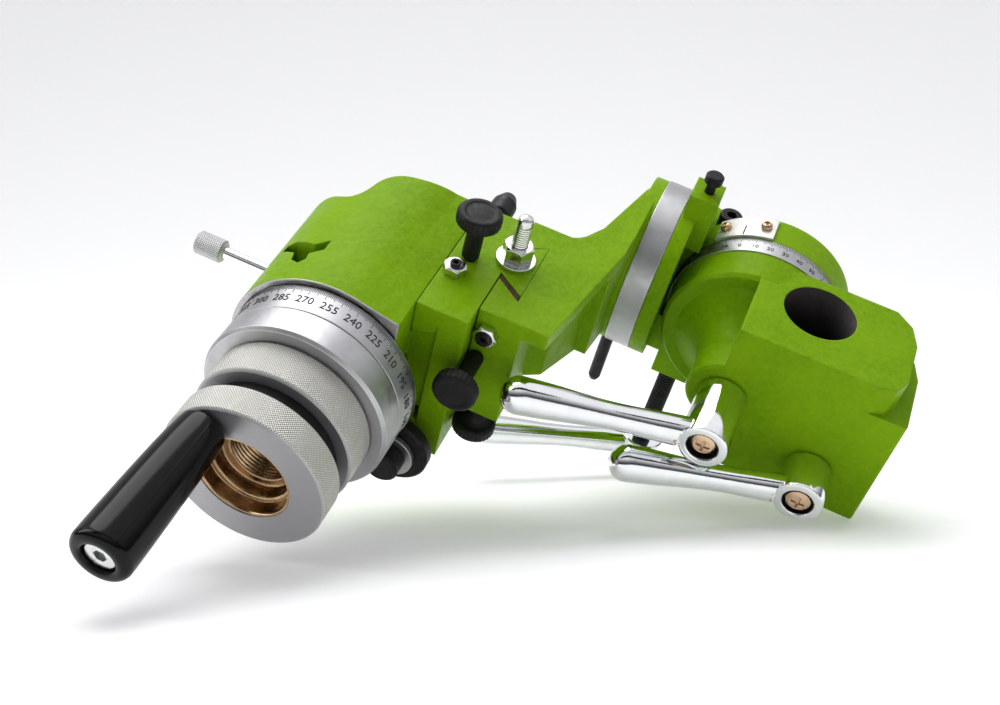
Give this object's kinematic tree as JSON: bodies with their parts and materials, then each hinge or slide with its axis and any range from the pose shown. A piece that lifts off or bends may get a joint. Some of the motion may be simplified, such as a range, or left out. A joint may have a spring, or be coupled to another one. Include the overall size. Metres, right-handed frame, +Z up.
{
  "type": "indexing work head",
  "caption": "Indexing work head for a tool grinder: handwheel spindle in a green housing, on two dovetail slides and two swivels, with a column clamp.",
  "frame": {"origin": "centre of the column bore, at the height of the spindle and swivel axes", "axes": "+Z up along the column bore; the spindle axis and the pan swivel axis run along Y, with the handwheel towards -Y; the tilt swivel axis runs along X, with the spindle towards -X"},
  "size_m": [0.3403, 0.3529, 0.2025],
  "materials": {
    "green_enamel": "hammered yellow-green enamel over cast iron",
    "satin_steel": "turned and satin finished",
    "knurled_steel": "fine diamond knurl",
    "chrome": "bright chrome plate",
    "zinc": "bright zinc plate",
    "black_oxide": "black oxide, lightly oiled",
    "bright_steel": "ground steel",
    "brass": "machined brass",
    "bronze": "sintered bronze",
    "black_plastic": "moulded phenolic, satin",
    "gloss_plastic": "polished phenolic",
    "fibre": "pressed black fibre",
    "pale_brass": "yellow passivated plate",
    "plate_steel": "etched scale plate"
  },
  "bodies": {
    "clamp_block": {"clamp_block": "green_enamel", "pan_dial": "satin_steel", "column_cotters": "brass", "column_stud": "bright_steel"},
    "pan_lever": {"pan_lever": "chrome", "pan_lever_screw": "pale_brass"},
    "column_lever": {"column_lever": "chrome", "column_lever_screw": "pale_brass"},
    "elbow": {"elbow": "green_enamel", "zero_plate": "plate_steel", "zero_plate_screws": "pale_brass", "pan_bolt": "bright_steel", "elbow_stud": "black_oxide", "elbow_cap_screw": "black_oxide", "tilt_bolt": "bright_steel"},
    "elbow_lever": {"elbow_lever": "chrome", "elbow_lever_screw": "pale_brass"},
    "tilt_finger_screw": {"tilt_finger_screw": "black_oxide"},
    "arm": {"arm": "green_enamel", "lift_gib": "bright_steel", "tilt_ring": "satin_steel", "tilt_pin": "black_oxide", "lift_gib_nut": "zinc", "lift_gib_set_screw": "black_oxide"},
    "front_thumb_screw": {"front_thumb_screw": "black_plastic"},
    "lower_thumb_screw": {"lower_thumb_screw": "black_plastic"},
    "cross_block": {"cross_block": "green_enamel", "cross_gib": "bright_steel", "cross_gib_nut": "zinc", "cross_gib_set_screw": "black_oxide", "rear_gib_screw": "black_oxide", "lift_stud": "chrome", "lift_washer": "zinc", "lift_nut": "zinc"},
    "top_thumb_screw": {"top_thumb_screw": "black_plastic"},
    "stop_knob": {"stop_knob": "black_plastic", "stop_collar": "satin_steel", "stop_disc": "black_plastic", "stop_screw": "bright_steel"},
    "spindle_housing": {"spindle_housing": "green_enamel", "front_bush": "bronze", "rear_bush": "bronze", "thrust_washer": "bronze", "index_bush": "bronze"},
    "spindle": {"spindle": "bright_steel", "degree_ring": "satin_steel", "plain_flange": "satin_steel", "knurled_ring": "knurled_steel", "index_disc": "bright_steel", "rear_ring_nut": "bright_steel"},
    "draw_wheel": {"handwheel": "satin_steel", "draw_collar": "brass", "draw_tube": "bright_steel", "friction_washer": "fibre", "handle_screw": "zinc"},
    "handle_grip": {"handle_grip": "gloss_plastic"},
    "index_plunger": {"index_pin": "chrome", "index_knob": "knurled_steel"}
  },
  "joints": [
    {"name": "pan_swivel", "type": "hinge", "parent": "clamp_block", "child": "elbow", "pos_m": [-0.027, 0.029, 0], "axis": [0, 1, 0], "range_deg": [-80, 80]},
    {"name": "tilt_swivel", "type": "hinge", "parent": "elbow", "child": "arm", "pos_m": [-0.086, 0.0379, 0], "axis": [1, 0, 0], "range_deg": [-60, 5]},
    {"name": "lift_slide", "type": "slide", "parent": "arm", "child": "cross_block", "axis": [0, 0, 1], "range_m": [-0.012, 0.012]},
    {"name": "traverse_slide", "type": "slide", "parent": "cross_block", "child": "spindle_housing", "axis": [0, 1, 0], "range_m": [-0.018, 0.001]},
    {"name": "spindle_turn", "type": "hinge", "parent": "spindle_housing", "child": "spindle", "pos_m": [-0.196, -0.121, 0], "axis": [0, 1, 0], "continuous": true},
    {"name": "draw_wheel_turn", "type": "hinge", "parent": "spindle", "child": "draw_wheel", "pos_m": [-0.196, -0.121, 0], "axis": [0, 1, 0], "continuous": true},
    {"name": "handle_spin", "type": "hinge", "parent": "draw_wheel", "child": "handle_grip", "pos_m": [-0.214, -0.231, 0.022], "axis": [0, 1, 0], "continuous": true},
    {"name": "index_pull", "type": "slide", "parent": "spindle_housing", "child": "index_plunger", "axis": [-1, 0, 0], "range_m": [-0.006, 0]},
    {"name": "pan_lever_turn", "type": "hinge", "parent": "clamp_block", "child": "pan_lever", "pos_m": [-0.027, -0.061, 0], "axis": [0, 1, 0], "range_deg": [0, 50]},
    {"name": "column_lever_turn", "type": "hinge", "parent": "clamp_block", "child": "column_lever", "pos_m": [0.025, -0.046, -0.0223], "axis": [0, 1, 0], "range_deg": [-50, 0]},
    {"name": "elbow_lever_turn", "type": "hinge", "parent": "elbow", "child": "elbow_lever", "pos_m": [-0.0554, 0.035, -0.12], "axis": [0, 0, 1], "range_deg": [-45, 45]},
    {"name": "tilt_finger_turn", "type": "hinge", "parent": "elbow", "child": "tilt_finger_screw", "pos_m": [-0.0712, 0.0379, 0.06], "axis": [0, 0, 1], "range_deg": [-180, 180]},
    {"name": "front_thumb_turn", "type": "hinge", "parent": "arm", "child": "front_thumb_screw", "pos_m": [-0.1364, -0.111, 0.0144], "axis": [0, 1, 0], "range_deg": [-180, 180]},
    {"name": "lower_thumb_turn", "type": "hinge", "parent": "arm", "child": "lower_thumb_screw", "pos_m": [-0.1302, -0.0845, -0.03], "axis": [0, 0, 1], "range_deg": [-180, 180]},
    {"name": "top_thumb_turn", "type": "hinge", "parent": "cross_block", "child": "top_thumb_screw", "pos_m": [-0.1573, -0.061, 0.06], "axis": [0, 0, 1], "range_deg": [-180, 180]},
    {"name": "stop_knob_turn", "type": "hinge", "parent": "cross_block", "child": "stop_knob", "pos_m": [-0.1586, -0.121, -0.039], "axis": [0, 1, 0], "range_deg": [-180, 180]}
  ]
}
